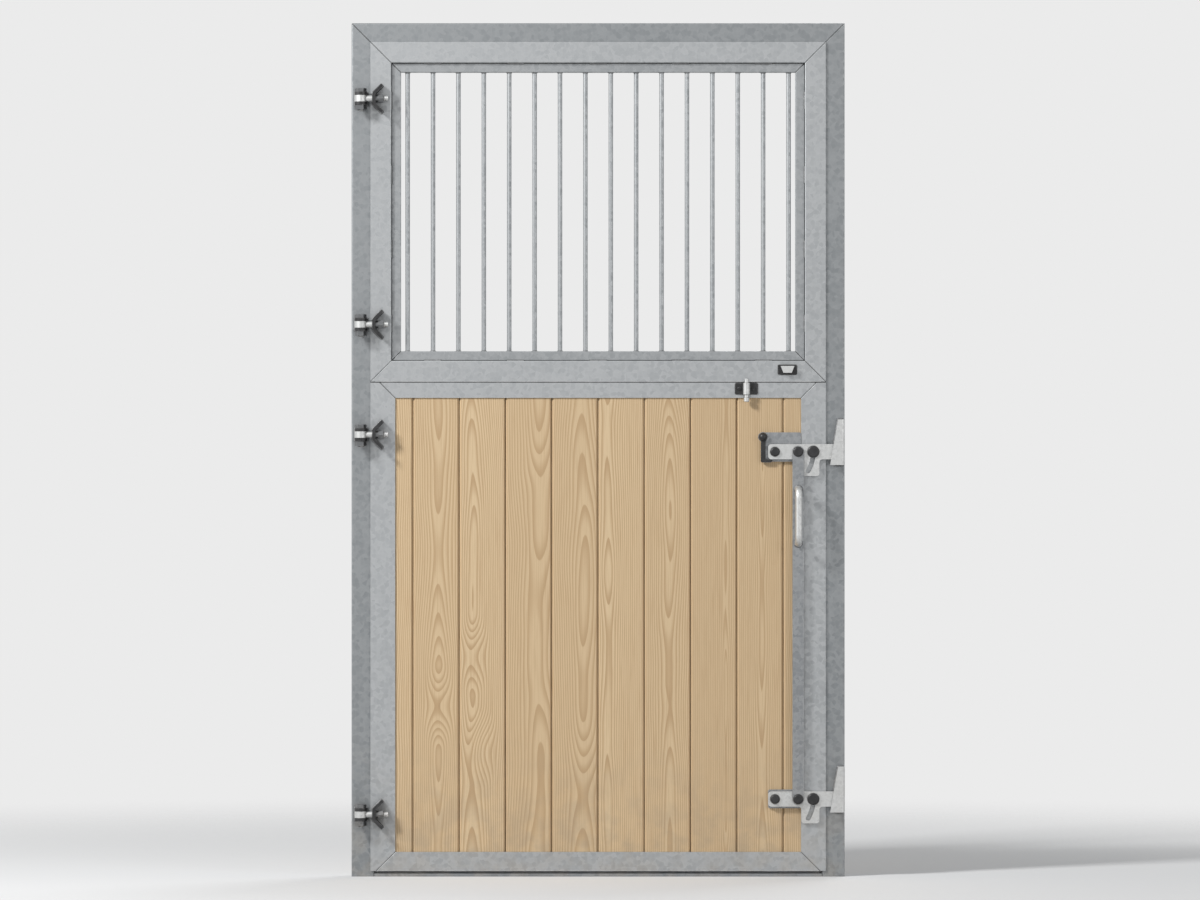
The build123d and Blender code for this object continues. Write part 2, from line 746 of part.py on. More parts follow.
with BuildPart() as lower_backing:
    with BuildSketch(Plane.XZ.offset(board_out)):
        with Locations((lower_inner_half, lower_latch_height)):
            RectangleRounded(
                lower_backing_width,
                2 * lower_backing_side,
                backing_round,
                align=(Align.MAX, Align.CENTER),
            )
        with Locations((pivot_x, lower_latch_height)):
            Circle(pivot_diameter / 2 + pin_fit, mode=Mode.SUBTRACT)
    extrude(amount=backing_thickness)
save(lower_backing, "lower_latch_backing")

# Lift bar, its two pins and the bow handle
lift_middle = (upper_latch_height + lower_latch_height) / 2
with BuildPart() as lift:
    with BuildSketch(Plane.XZ.offset(lift_back)):
        with Locations((lift_x, lift_middle)):
            SlotCenterToCenter(latch_spacing, lift_width, rotation=90)
            with GridLocations(0, latch_spacing, 1, 2):
                Circle(lift_pin / 2 + pin_fit, mode=Mode.SUBTRACT)
    extrude(amount=lift_thickness)
save(lift, "lift_bar")

with BuildPart() as lift_pins:
    for height in latch_heights:
        headed_pin(lift_x, height, latch_back, lift_out, lift_pin, lift_pin_head, lift_pin_head_height)
save(lift_pins, "lift_bar_pins")

handle_top = upper_latch_height - handle_drop
with BuildPart() as handle:
    with BuildLine(Plane.YZ.offset(lift_x)) as bow:
        FilletPolyline(
            (-lift_out, handle_top - handle_diameter / 2),
            (-lift_out - handle_reach, handle_top - handle_diameter / 2),
            (-lift_out - handle_reach, handle_top - handle_length + handle_diameter / 2),
            (-lift_out, handle_top - handle_length + handle_diameter / 2),
            radius=handle_bend,
        )
    with BuildSketch(Plane(origin=bow.line @ 0, z_dir=bow.line % 0)):
        Circle(handle_diameter / 2)
    sweep(path=bow.line)
save(handle, "lift_handle")

# Keepers: folded plates on the jamb, cut to a slant beside each latch tip
keeper_front = latch_out + keeper_gap + keeper_plate
for height, name in zip(latch_heights, ("upper", "lower")):
    with BuildPart() as keeper:
        with BuildSketch(Plane.XY.offset(height - keeper_below)):
            with BuildLine():
                FilletPolyline(
                    (frame_half - keeper_bottom_width, -keeper_front),
                    (frame_half, -keeper_front),
                    (frame_half, -frame_out),
                    (frame_half - keeper_base, -frame_out),
                    radius=keeper_bend + keeper_plate,
                )
                offset(amount=keeper_plate, side=Side.LEFT)
            make_face()
        extrude(amount=keeper_height)
        with BuildSketch(Plane.XZ.offset(frame_out)):
            with Locations((frame_half, height - keeper_below)):
                Polygon(
                    (-keeper_bottom_width, 0),
                    (-keeper_top_width, keeper_height),
                    (-keeper_bottom_width, keeper_height),
                    align=None,
                )
        extrude(amount=keeper_front - frame_out, mode=Mode.SUBTRACT)
    save(keeper, f"{name}_keeper")

# Connecting bolt: a plate on the lower leaf, a sleeve on the plate and a rod that slides in it
bolt_plate_middle = bolt_plate_foot + bolt_plate_height / 2
with BuildPart() as bolt_plate:
    with BuildSketch(Plane.XZ.offset(leaf_out)):
        with Locations((bolt_x, bolt_plate_middle)):
            RectangleRounded(bolt_plate_width, bolt_plate_height, bolt_plate_round)
            with GridLocations(screw_spacing, 0, 2, 1):
                Circle(screw_shank / 2 + pin_fit, mode=Mode.SUBTRACT)
    extrude(amount=bolt_plate_thickness)
save(bolt_plate, "bolt_plate")

with BuildPart() as sleeve:
    with BuildSketch(Plane.XY.offset(bolt_plate_foot)):
        with Locations((bolt_x, -leaf_out - bolt_plate_thickness)):
            Rectangle(bolt_sleeve, bolt_sleeve / 2, align=(Align.CENTER, Align.MAX))
        with Locations((bolt_x, -bolt_out)):
            Circle(bolt_sleeve / 2)
    extrude(amount=bolt_plate_height)
    with BuildSketch(Plane.XY.offset(bolt_plate_foot)):
        with Locations((bolt_x, -bolt_out)):
            Circle(bolt_rod / 2 + bolt_rod_fit)
    extrude(amount=bolt_plate_height, mode=Mode.SUBTRACT)
save(sleeve, "bolt_sleeve")

with BuildPart() as bolt_screws:
    for side in (-1, 1):
        headed_pin(
            bolt_x + side * screw_spacing / 2,
            bolt_plate_middle,
            leaf_out,
            leaf_out + bolt_plate_thickness,
            screw_shank,
            screw_head,
            screw_head_height,
        )
save(bolt_screws, "bolt_plate_screws")

rod_top = split_height + bolt_rise
rod_foot = bolt_plate_foot - bolt_tail
with BuildPart() as rod:
    with BuildSketch(Plane(origin=(bolt_x, -bolt_out, 0), x_dir=(1, 0, 0), z_dir=(0, -1, 0))):
        with BuildLine():
            Polyline(
                (0, rod_top),
                (bolt_rod / 2 - bolt_bevel, rod_top),
                (bolt_rod / 2, rod_top - bolt_bevel),
                (bolt_rod / 2, rod_foot),
                (bolt_knob / 2, rod_foot - bolt_bevel),
                (bolt_knob / 2, rod_foot - bolt_knob_length + bolt_bevel),
                (bolt_knob / 2 - bolt_bevel, rod_foot - bolt_knob_length),
                (0, rod_foot - bolt_knob_length),
                close=True,
            )
        make_face()
    revolve(axis=Axis((bolt_x, -bolt_out, 0), (0, 0, 1)))
save(rod, "leaf_bolt")

# Safety catch: a hanging lever with a ball at its pivot and a toe under the latch's heel
with BuildPart() as catch:
    with BuildSketch(Plane.XZ.offset(latch_back)):
        with BuildLine():
            Polyline(
                (catch_x - catch_width / 2, catch_height),
                (catch_x - catch_width / 2, toe_top - toe_height),
                (toe_x, toe_top - toe_height),
                (toe_x, toe_top),
                (catch_x + catch_width / 2, toe_top),
                (catch_x + catch_width / 2, catch_height),
                close=True,
            )
        make_face()
        fillet(vertices().group_by(Axis.Y)[0], catch_round)
        with Locations((catch_x, catch_height)):
            Circle(catch_ball / 2)
    extrude(amount=catch_thickness)
    with Locations((catch_x, -latch_back - catch_ball_stand, catch_height)):
        Sphere(catch_ball / 2)
    split(bisect_by=Plane.XZ.offset(latch_back), keep=Keep.TOP)
    with BuildSketch(Plane.XZ.offset(latch_back)):
        with Locations((catch_x, catch_height)):
            Circle(catch_pin / 2 + pin_fit)
    extrude(amount=catch_thickness + pin_fit, mode=Mode.SUBTRACT)
save(catch, "safety_catch")
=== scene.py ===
"""Dresses the two-leaf stable door: zinc, timber, black coating, rubber, weld seams, threads and screws."""

from __future__ import annotations

import json
import logging
import math
from dataclasses import dataclass
from enum import Enum

import bmesh
import bpy
from mathutils import Matrix, Vector

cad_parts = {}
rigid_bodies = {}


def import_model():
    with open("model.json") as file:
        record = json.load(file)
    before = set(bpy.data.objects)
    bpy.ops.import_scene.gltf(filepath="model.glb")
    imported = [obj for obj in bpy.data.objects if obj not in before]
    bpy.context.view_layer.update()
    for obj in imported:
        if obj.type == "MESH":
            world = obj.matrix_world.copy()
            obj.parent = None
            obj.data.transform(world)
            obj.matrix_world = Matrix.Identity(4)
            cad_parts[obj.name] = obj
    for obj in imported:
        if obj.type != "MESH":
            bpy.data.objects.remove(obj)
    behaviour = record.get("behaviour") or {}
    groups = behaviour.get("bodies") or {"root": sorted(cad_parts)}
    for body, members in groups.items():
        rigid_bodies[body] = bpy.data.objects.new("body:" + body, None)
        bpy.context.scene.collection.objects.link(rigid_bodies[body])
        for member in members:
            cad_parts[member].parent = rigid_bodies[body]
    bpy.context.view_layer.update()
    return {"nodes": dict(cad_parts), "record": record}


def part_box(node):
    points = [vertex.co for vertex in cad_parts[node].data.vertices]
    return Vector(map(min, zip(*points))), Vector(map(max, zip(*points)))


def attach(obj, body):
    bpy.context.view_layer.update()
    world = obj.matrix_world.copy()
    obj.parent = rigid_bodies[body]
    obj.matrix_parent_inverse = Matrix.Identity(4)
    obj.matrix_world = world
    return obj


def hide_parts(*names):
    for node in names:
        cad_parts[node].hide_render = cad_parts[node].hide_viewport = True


LOG = logging.getLogger("stable_door")
SEED = 7
NOISE_MIDDLE = 0.5
# Sockets of the Mix and Random Value nodes go by number, because several of them share a name.
MIX_FACTOR, MIX_FIRST, MIX_SECOND, MIX_RESULT = 0, 6, 7, 2
RANDOM_LOW, RANDOM_HIGH, RANDOM_RESULT = 2, 3, 1

Range = tuple[float, float]
Point = tuple[float, float, float]
Colour = tuple[float, float, float, float]
Socket = bpy.types.NodeSocket
Value = float | Socket
Paint = Colour | Socket


class Slot(Enum):
    """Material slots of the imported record."""

    ZINC = "galvanised"
    TIMBER = "timber"
    BLACK = "black_steel"
    RUBBER = "rubber"


class Body(Enum):
    """Moving bodies that carry dressed pieces."""

    FRAME = "frame"
    UPPER_LEAF = "upper_leaf"
    LOWER_LEAF = "lower_leaf"
    LIFT_BAR = "lift_bar"


class NodeSheet:
    """Short way to lay nodes into one tree and wire them."""

    def __init__(self, tree: bpy.types.NodeTree) -> None:
        """Empty the tree that is to be filled."""
        self.tree = tree
        tree.nodes.clear()

    def add(self, kind: str, inputs: dict | None = None, **settings: object) -> bpy.types.Node:
        """Add one node.

        Args:
            kind: The node's type name.
            inputs: Values or sockets by input name or number.
            settings: The node's own properties.

        Returns:
            The new node.
        """
        node = self.tree.nodes.new(kind)
        for name, value in settings.items():
            setattr(node, name, value)
        for key, value in (inputs or {}).items():
            socket = node.inputs[key]
            if isinstance(value, Socket):
                self.tree.links.new(value, socket)
            else:
                socket.default_value = value
        return node

    def math(self, operation: str, *values: Value) -> Socket:
        """Work out the values, which are numbers or sockets, with a Math node."""
        inputs = dict(enumerate(values))
        return self.add("ShaderNodeMath", inputs, operation=operation).outputs[0]

    def weigh(self, first: tuple[Value, float], second: tuple[Value, float]) -> Socket:
        """Return the sum of two values, each given with its weight."""
        return self.math("ADD", self.math("MULTIPLY", *first), self.math("MULTIPLY", *second))

    def ramp(self, factor: Value, span: Range, result: Range = (0.0, 1.0)) -> Socket:
        """Map a value smoothly from one range to another.

        Args:
            factor: The value to map.
            span: Start and end of its range.
            result: Results at the start and at the end.

        Returns:
            The mapped value.
        """
        inputs = {"Value": factor, "From Min": span[0], "From Max": span[1]}
        inputs |= {"To Min": result[0], "To Max": result[1]}
        return self.add("ShaderNodeMapRange", inputs, interpolation_type="SMOOTHSTEP").outputs["Result"]

    def mix(self, factor: Value, first: Paint, second: Paint) -> Socket:
        """Blend two colours by the share of the second one."""
        inputs = {MIX_FACTOR: factor, MIX_FIRST: first, MIX_SECOND: second}
        return self.add("ShaderNodeMix", inputs, data_type="RGBA").outputs[MIX_RESULT]

    def noise(self, vector: Socket, scale: Value, detail: float = 3.0) -> Socket:
        """Return a noise pattern, its scale in cells per metre and its detail in octaves."""
        inputs = {"Vector": vector, "Scale": scale, "Detail": detail}
        return self.add("ShaderNodeTexNoise", inputs).outputs[0]

    def bump(self, height: Socket, strength: float, depth: float) -> Socket:
        """Turn a pattern of so many metres' depth into a direction for a shader's Normal."""
        inputs = {"Strength": strength, "Distance": depth, "Height": height}
        return self.add("ShaderNodeBump", inputs).outputs[0]

    def point(self, parts: tuple[Socket, ...], stretch: Point) -> Socket:
        """Join three values to a point and stretch it along each axis."""
        inputs = {0: self.add("ShaderNodeCombineXYZ", dict(enumerate(parts))).outputs[0], 1: stretch}
        return self.add("ShaderNodeVectorMath", inputs, operation="MULTIPLY").outputs["Vector"]

    def place(self) -> Socket:
        """Return the Object coordinates, which are the door's own metres."""
        return self.add("ShaderNodeTexCoord").outputs["Object"]


class SharedGroup:
    """A shader node group with named inputs and outputs, built once."""

    def __init__(self, name: str, inputs: dict[str, float], outputs: list[str]) -> None:
        """Make the group's interface.

        Args:
            name: The group's name.
            inputs: Input names with their usual values.
            outputs: Output names, all plain values.
        """
        self.tree = bpy.data.node_groups.new(name, "ShaderNodeTree")
        for title, value in inputs.items():
            socket = self.tree.interface.new_socket(name=title, in_out="INPUT", socket_type="NodeSocketFloat")
            socket.default_value = value
        for title in outputs:
            self.tree.interface.new_socket(name=title, in_out="OUTPUT", socket_type="NodeSocketFloat")
        self.sheet = NodeSheet(self.tree)
        self.given = self.sheet.add("NodeGroupInput").outputs
        self.result = self.sheet.add("NodeGroupOutput")

    def give(self, name: str, value: Socket) -> None:
        """Wire one result of the group."""
        self.tree.links.new(value, self.result.inputs[name])

    def use(self, sheet: NodeSheet, **values: float) -> bpy.types.NodeOutputs:
        """Place the group in a material, with underscores in its inputs' names, and return its outputs."""
        named = {key.replace("_", " ").capitalize(): value for key, value in values.items()}
        return sheet.add("ShaderNodeGroup", named, node_tree=self.tree).outputs


@dataclass(frozen=True)
class SpanglePattern:
    """Crystals of hot-dip zinc under slow clouds."""

    crystals: float = 80.0
    clouds: float = 3.0
    cloud_detail: float = 5.0
    warp_scale: float = 60.0
    warp_detail: float = 3.0
    warp_share: float = 0.008
    shade_weight: float = 0.7
    rim_weight: float = 0.35
    crystal_weight: float = 0.5
    cloud_weight: float = 0.5

    def group(self) -> SharedGroup:
        """Build the pattern.

        Returns:
            A group with a tone and a bump height.
        """
        inputs = {"Crystals": self.crystals, "Clouds": self.clouds}
        group = SharedGroup("zinc_spangle", inputs, ["Tone", "Height"])
        sheet = group.sheet
        place = sheet.place()
        ripple = {"Vector": place, "Scale": self.warp_scale, "Detail": self.warp_detail}
        warp = sheet.add("ShaderNodeTexNoise", ripple).outputs["Color"]
        shifted = {0: self.warp_share, 1: place, 2: warp}
        bent = sheet.add("ShaderNodeMixRGB", shifted, blend_type="ADD").outputs[0]
        cells = sheet.add("ShaderNodeTexVoronoi", {"Vector": bent, "Scale": group.given["Crystals"]}).outputs
        shade = sheet.add("ShaderNodeSeparateColor", {0: cells["Color"]}).outputs[0]
        facet = sheet.weigh((shade, self.shade_weight), (cells["Distance"], self.rim_weight))
        clouds = sheet.noise(place, group.given["Clouds"], self.cloud_detail)
        group.give("Tone", sheet.weigh((facet, self.crystal_weight), (clouds, self.cloud_weight)))
        group.give("Height", facet)
        return group


@dataclass(frozen=True)
class WearAndShadePattern:
    """Edges that hands and hooves have rubbed, and painted shade in grooves, found by ambient occlusion."""

    reach: float = 0.0015
    patches: float = 30.0
    groove: float = 0.002
    edge_samples: int = 4
    edge_turn: Range = (0.99, 0.86)
    patch_detail: float = 5.0
    patch_span: Range = (0.4, 0.62)
    groove_samples: int = 8
    groove_air: Range = (0.97, 0.6)

    def group(self) -> SharedGroup:
        """Build the masks.

        Returns:
            A group with a mask that is one on worn edges and a mask of painted shade that is one deep in
            grooves.
        """
        inputs = {"Reach": self.reach, "Patches": self.patches, "Groove": self.groove}
        group = SharedGroup("edge_wear_and_groove_shade", inputs, ["Mask", "PaintedShade"])
        sheet = group.sheet
        rounding = {"Radius": group.given["Reach"]}
        rounded = sheet.add("ShaderNodeBevel", rounding, samples=self.edge_samples).outputs[0]
        sharp = sheet.add("ShaderNodeNewGeometry").outputs["Normal"]
        compared = {0: rounded, 1: sharp}
        turn = sheet.add("ShaderNodeVectorMath", compared, operation="DOT_PRODUCT").outputs["Value"]
        patches = sheet.noise(sheet.place(), group.given["Patches"], self.patch_detail)
        edge, patch = sheet.ramp(turn, self.edge_turn), sheet.ramp(patches, self.patch_span)
        # Painted shade: ambient occlusion over a few millimetres finds grooves, mitres and gaps, which the
        # finishes darken; rubbed edges stay out of them.
        around = {"Distance": group.given["Groove"]}
        air = sheet.add("ShaderNodeAmbientOcclusion", around, samples=self.groove_samples).outputs["AO"]
        painted_shade = sheet.ramp(air, self.groove_air)
        rubbed = sheet.math("MULTIPLY", edge, patch)
        group.give("Mask", sheet.math("MULTIPLY", rubbed, sheet.math("SUBTRACT", 1.0, painted_shade)))
        group.give("PaintedShade", painted_shade)
        return group


@dataclass(frozen=True)
class DustPattern:
    """Dust and splash that gather towards the floor."""

    top: float = 0.5
    amount: float = 0.35
    fade_power: float = 2.0
    flecks: float = 22.0
    fleck_detail: float = 6.0
    fleck_span: Range = (0.35, 0.7)

    def group(self) -> SharedGroup:
        """Build the mask.

        Returns:
            A group with a mask that is one where the dust is thick.
        """
        group = SharedGroup("floor_dust", {"Top": self.top, "Amount": self.amount}, ["Mask"])
        sheet = group.sheet
        place = sheet.place()
        height = sheet.add("ShaderNodeSeparateXYZ", {0: place}).outputs["Z"]
        near = sheet.math("SUBTRACT", 1.0, sheet.math("DIVIDE", height, group.given["Top"]))
        fade = sheet.math("POWER", sheet.math("MAXIMUM", near, 0.0), self.fade_power)
        flecks = sheet.ramp(sheet.noise(place, self.flecks, self.fleck_detail), self.fleck_span)
        dust = sheet.math("MULTIPLY", fade, flecks)
        group.give("Mask", sheet.math("MULTIPLY", dust, group.given["Amount"]))
        return group


@dataclass(frozen=True)
class GrainPattern:
    """Growth rings, fibres and knots of sawn boards, new for every board."""

    first_edge: float = -0.488
    cover: float = 0.122
    rings: float = 210.0
    board_shift: float = 9.0
    side_from: float = 0.2
    side_spread: float = 0.6
    depth_from: float = 0.03
    depth_spread: float = 0.05
    sway_stretch: Point = (3.0, 1.0, 1.0)
    sway_scale: float = 1.3
    sway_detail: float = 2.0
    sway_reach: float = 0.09
    knot_cells: Point = (8.2, 4.0, 3.4)
    knot_scatter: float = 0.75
    knot_rarity: float = 0.83
    knot_span: Range = (0.1, 0.055)
    bend_span: Range = (0.42, 0.0)
    bend_reach: float = 0.022
    late_rise: Range = (0.25, 0.93)
    late_fall: Range = (1.0, 0.94)
    fibre_cells: Point = (420.0, 420.0, 9.0)
    fibre_detail: float = 4.0

    def group(self) -> SharedGroup:
        """Build the pattern.

        Returns:
            A group with ring, fibre, knot and board values.
        """
        inputs = {"First edge": self.first_edge, "Cover": self.cover, "Rings": self.rings}
        group = SharedGroup("sawn_grain", inputs, ["Ring", "Fibre", "Knot", "Board"])
        sheet = group.sheet
        across, deep, along = sheet.add("ShaderNodeSeparateXYZ", {0: sheet.place()}).outputs
        from_edge = sheet.math("SUBTRACT", across, group.given["First edge"])
        count = sheet.math("DIVIDE", from_edge, group.given["Cover"])
        number = sheet.math("FLOOR", count)
        chance = sheet.add("ShaderNodeTexWhiteNoise", {"W": number}, noise_dimensions="1D").outputs
        group.give("Board", chance["Value"])
        one, two, three = sheet.add("ShaderNodeSeparateColor", {0: chance["Color"]}).outputs
        shift = sheet.math("MULTIPLY", two, self.board_shift)
        tall = sheet.math("ADD", along, shift)

        # The rings are circles round the tree's heart, which lies behind the board and sways along it.
        heart_side = sheet.math("ADD", self.side_from, sheet.math("MULTIPLY", one, self.side_spread))
        heart_deep = sheet.math("ADD", self.depth_from, sheet.math("MULTIPLY", three, self.depth_spread))
        middle = sheet.math("SUBTRACT", sheet.math("FRACT", count), heart_side)
        side = sheet.math("MULTIPLY", middle, group.given["Cover"])
        slow = sheet.point((side, shift, tall), self.sway_stretch)
        drift = sheet.noise(slow, self.sway_scale, self.sway_detail)
        sway = sheet.math("MULTIPLY", sheet.math("SUBTRACT", drift, NOISE_MIDDLE), self.sway_reach)
        heart = sheet.math("ADD", sheet.math("ADD", deep, sway), heart_deep)
        squares = sheet.math("ADD", sheet.math("POWER", side, 2.0), sheet.math("POWER", heart, 2.0))
        reach = sheet.math("SQRT", squares)

        # A few cells of a coarse pattern hold a knot, and the rings bend round it.
        spot = sheet.point((across, two, tall), self.knot_cells)
        scattered = {"Vector": spot, "Scale": 1.0, "Randomness": self.knot_scatter}
        knots = sheet.add("ShaderNodeTexVoronoi", scattered).outputs
        pick = sheet.add("ShaderNodeSeparateColor", {0: knots["Color"]}).outputs[1]
        kept = sheet.math("GREATER_THAN", pick, self.knot_rarity)
        group.give("Knot", sheet.math("MULTIPLY", sheet.ramp(knots["Distance"], self.knot_span), kept))
        near = sheet.ramp(knots["Distance"], self.bend_span)
        bend = sheet.math("MULTIPLY", near, sheet.math("MULTIPLY", kept, self.bend_reach))
        phase = sheet.math("MULTIPLY", sheet.math("ADD", reach, bend), group.given["Rings"])
        saw = sheet.math("FRACT", phase)
        rise, fall = sheet.ramp(saw, self.late_rise), sheet.ramp(saw, self.late_fall)
        group.give("Ring", sheet.math("MULTIPLY", rise, fall))

        fine = sheet.point((across, deep, tall), self.fibre_cells)
        group.give("Fibre", sheet.noise(fine, 1.0, self.fibre_detail))
        return group


@dataclass(frozen=True)
class SharedLooks:
    """The effects that several finishes use."""

    spangle: SharedGroup
    wear_and_shade: SharedGroup
    dust: SharedGroup
    grain: SharedGroup

    @classmethod
    def build(cls) -> SharedLooks:
        """Build every shared effect once."""
        patterns = (SpanglePattern(), WearAndShadePattern(), DustPattern(), GrainPattern())
        return cls(*(pattern.group() for pattern in patterns))


def new_material(name: str) -> tuple[bpy.types.Material, NodeSheet]:
    """Make an empty node material.

    Args:
        name: The material's name.

    Returns:
        The material and its node sheet.
    """
    material = bpy.data.materials.new(name)
    material.use_nodes = True
    return material, NodeSheet(material.node_tree)


def close_material(sheet: NodeSheet, shader: Socket) -> None:
    """Wire a shader to the material's output."""
    sheet.add("ShaderNodeOutputMaterial", {"Surface": shader})


@dataclass(frozen=True)
class ZincFinish:
    """Hot-dip zinc with crystals, clouds, rubbed edges, painted shade in its grooves and floor dust."""

    name: str
    dark: Colour
    light: Colour
    rubbed: Colour
    crystals: float
    roughness: float
    wear_reach: float = 0.0015
    tone_span: Range = (0.22, 0.78)
    gloss_span: Range = (0.2, 0.8)
    gloss_change: float = 0.08
    metal: float = 0.82
    # Near-black colour of the painted shade in grooves, mitres and weld toes.
    painted_shade: Colour = (0.07, 0.065, 0.06, 1.0)
    painted_shade_share: float = 0.75
    dust: Colour = (0.36, 0.31, 0.25, 1.0)
    dust_and_shade_roughness: float = 0.4
    relief: float = 0.12
    relief_depth: float = 0.0004

    def material(self, looks: SharedLooks) -> bpy.types.Material:
        """Build the material.

        Args:
            looks: The shared effects.

        Returns:
            The finished material.
        """
        material, sheet = new_material(self.name)
        spangle = looks.spangle.use(sheet, crystals=self.crystals)
        colour = sheet.mix(sheet.ramp(spangle["Tone"], self.tone_span), self.dark, self.light)
        wear_and_shade = looks.wear_and_shade.use(sheet, reach=self.wear_reach)
        colour = sheet.mix(wear_and_shade["Mask"], colour, self.rubbed)
        # Painted shade: the ambient-occlusion mask darkens grooves, mitres and weld toes towards near black.
        # Together with the floor dust, it also takes away metal and adds roughness.
        painted_shade = sheet.math("MULTIPLY", wear_and_shade["PaintedShade"], self.painted_shade_share)
        dust = looks.dust.use(sheet)["Mask"]
        colour = sheet.mix(dust, sheet.mix(painted_shade, colour, self.painted_shade), self.dust)
        dust_and_shade = sheet.math("MAXIMUM", dust, painted_shade)
        free_of_dust_and_shade = sheet.math("SUBTRACT", 1.0, dust_and_shade)
        roughest, smoothest = self.roughness + self.gloss_change, self.roughness - self.gloss_change
        rough = sheet.ramp(spangle["Tone"], self.gloss_span, (roughest, smoothest))
        shader = sheet.add(
            "ShaderNodeBsdfPrincipled",
            {
                "Base Color": colour,
                "Metallic": sheet.math("MULTIPLY", free_of_dust_and_shade, self.metal),
                "Roughness": sheet.math("ADD", rough, sheet.math("MULTIPLY", dust_and_shade, self.dust_and_shade_roughness)),
                "Normal": sheet.bump(spangle["Height"], self.relief, self.relief_depth),
            },
        )
        close_material(sheet, shader.outputs[0])
        return material


@dataclass(frozen=True)
class TimberFinish:
    """Planed, oiled softwood boards."""

    name: str
    early: Colour
    late: Colour
    knot: Colour
    deep: Colour
    first_edge: float
    cover: float
    ring_share: float = 0.75
    fibre_span: Range = (0.45, 0.75)
    fibre_share: Range = (0.0, 0.4)
    board_share: float = 0.3
    dust: Colour = (0.30, 0.25, 0.19, 1.0)
    dust_amount: float = 0.5
    ring_height: float = 0.6
    fibre_height: float = 0.5
    relief: float = 0.25
    relief_depth: float = 0.0006
    rough_span: Range = (0.3, 0.7)
    roughness: Range = (0.48, 0.64)
    gloss: float = 0.35

    def material(self, looks: SharedLooks) -> bpy.types.Material:
        """Build the material.

        Args:
            looks: The shared effects.

        Returns:
            The finished material.
        """
        material, sheet = new_material(self.name)
        grain = looks.grain.use(sheet, first_edge=self.first_edge, cover=self.cover)
        colour = sheet.mix(sheet.math("MULTIPLY", grain["Ring"], self.ring_share), self.early, self.late)
        colour = sheet.mix(sheet.ramp(grain["Fibre"], self.fibre_span, self.fibre_share), colour, self.late)
        colour = sheet.mix(sheet.math("MULTIPLY", grain["Board"], self.board_share), colour, self.deep)
        colour = sheet.mix(grain["Knot"], colour, self.knot)
        colour = sheet.mix(looks.dust.use(sheet, amount=self.dust_amount)["Mask"], colour, self.dust)
        height = sheet.weigh((grain["Ring"], self.ring_height), (grain["Fibre"], self.fibre_height))
        shader = sheet.add(
            "ShaderNodeBsdfPrincipled",
            {
                "Base Color": colour,
                "Roughness": sheet.ramp(grain["Fibre"], self.rough_span, self.roughness),
                "Specular IOR Level": self.gloss,
                "Normal": sheet.bump(height, self.relief, self.relief_depth),
            },
        )
        close_material(sheet, shader.outputs[0])
        return material


@dataclass(frozen=True)
class CoatFinish:
    """Dark coating on steel, rubbed to bare metal on its edges, or plain rubber."""

    name: str
    coat: Colour
    faded: Colour
    bare: Colour
    roughness: float = 0.36
    rough_change: float = 0.14
    rough_scale: float = 60.0
    rough_span: Range = (0.3, 0.7)
    wear_reach: float = 0.001
    wear_patches: float = 70.0
    fade_scale: float = 35.0
    fade_span: Range = (0.35, 0.7)
    peel_scale: float = 900.0
    peel_detail: float = 1.0
    relief: float = 0.15
    relief_depth: float = 0.0002

    def material(self, looks: SharedLooks) -> bpy.types.Material:
        """Build the material.

        Args:
            looks: The shared effects.

        Returns:
            The finished material.
        """
        material, sheet = new_material(self.name)
        place = sheet.place()
        worn = looks.wear_and_shade.use(sheet, reach=self.wear_reach, patches=self.wear_patches)["Mask"]
        fade = sheet.ramp(sheet.noise(place, self.fade_scale), self.fade_span)
        colour = sheet.mix(worn, sheet.mix(fade, self.coat, self.faded), self.bare)
        peel = sheet.noise(place, self.peel_scale, self.peel_detail)
        rough = (self.roughness, self.roughness + self.rough_change)
        shader = sheet.add(
            "ShaderNodeBsdfPrincipled",
            {
                "Base Color": colour,
                "Metallic": worn,
                "Roughness": sheet.ramp(sheet.noise(place, self.rough_scale), self.rough_span, rough),
                "Normal": sheet.bump(peel, self.relief, self.relief_depth),
            },
        )
        close_material(sheet, shader.outputs[0])
        return material


